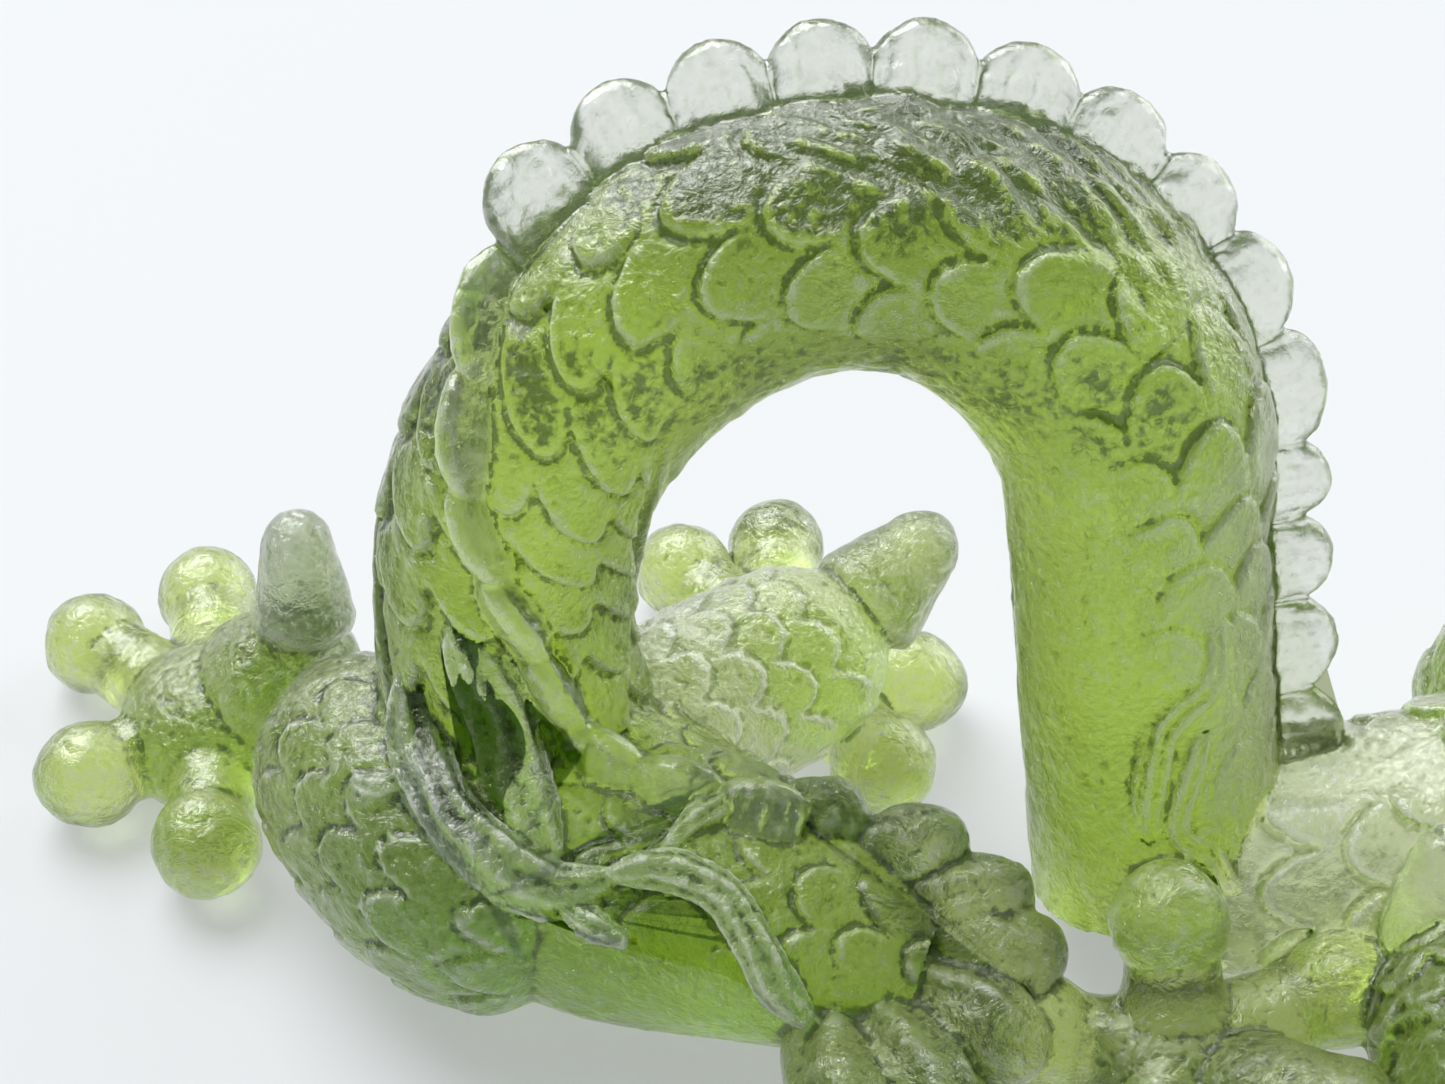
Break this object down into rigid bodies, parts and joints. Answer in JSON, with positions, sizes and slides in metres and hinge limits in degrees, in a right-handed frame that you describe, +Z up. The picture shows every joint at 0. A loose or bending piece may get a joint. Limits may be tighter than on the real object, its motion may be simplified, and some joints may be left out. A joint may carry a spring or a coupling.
{
  "type": "jade figurine",
  "caption": "Arched dragon desk figurine in translucent jade-green cast glass, with a lobed crest along its back and clawless round-toed paws it rests on.",
  "frame": {"origin": "on the resting plane, on the flat under the rump", "axes": "+X from the rump towards the head, +Y to the figurine's own left, +Z up"},
  "size_m": [0.1676, 0.0795, 0.0693],
  "materials": {
    "glass_deep": "fine cast grain, deep olive green",
    "glass_mid": "fine cast grain, grass green",
    "glass_pale": "fine cast grain, pale yellow-green",
    "glass_clear": "fine cast grain, nearly colourless"
  },
  "bodies": {
    "root": {"rump": "glass_mid", "tail_root": "glass_mid", "arch_rise": "glass_mid", "arch_crown": "glass_mid", "arch_fall": "glass_mid", "chest": "glass_pale", "neck_lower": "glass_mid", "neck_upper": "glass_mid", "crest_tail": "glass_clear", "crest_rise": "glass_clear", "crest_crown": "glass_clear", "crest_fall": "glass_clear", "crest_neck": "glass_clear", "hind_thigh_left": "glass_deep", "hind_shank_left": "glass_mid", "hind_spur_left": "glass_clear", "hind_paw_left": "glass_mid", "hind_toes_left": "glass_pale", "hind_thigh_right": "glass_mid", "hind_shank_right": "glass_mid", "hind_spur_right": "glass_clear", "hind_paw_right": "glass_mid", "hind_toes_right": "glass_pale", "fore_arm_left": "glass_mid", "fore_wrist_left": "glass_mid", "fore_spur_left": "glass_clear", "fore_paw_left": "glass_mid", "fore_toes_left": "glass_pale", "fore_arm_right": "glass_deep", "fore_wrist_right": "glass_deep", "fore_spur_right": "glass_clear", "fore_paw_right": "glass_deep", "fore_toes_right": "glass_pale", "hip_flame": "glass_deep", "shoulder_flame": "glass_mid", "tail_locks_upper": "glass_deep", "tail_locks_lower": "glass_deep", "skull": "glass_mid", "muzzle": "glass_mid", "lower_jaw": "glass_mid", "nose": "glass_pale", "fangs": "glass_clear", "tongue": "glass_pale", "brows": "glass_deep", "eyes": "glass_clear", "ears": "glass_pale", "horns": "glass_clear", "mane_left": "glass_deep", "mane_right": "glass_deep", "beard": "glass_deep", "whiskers": "glass_clear"}
  },
  "joints": []
}
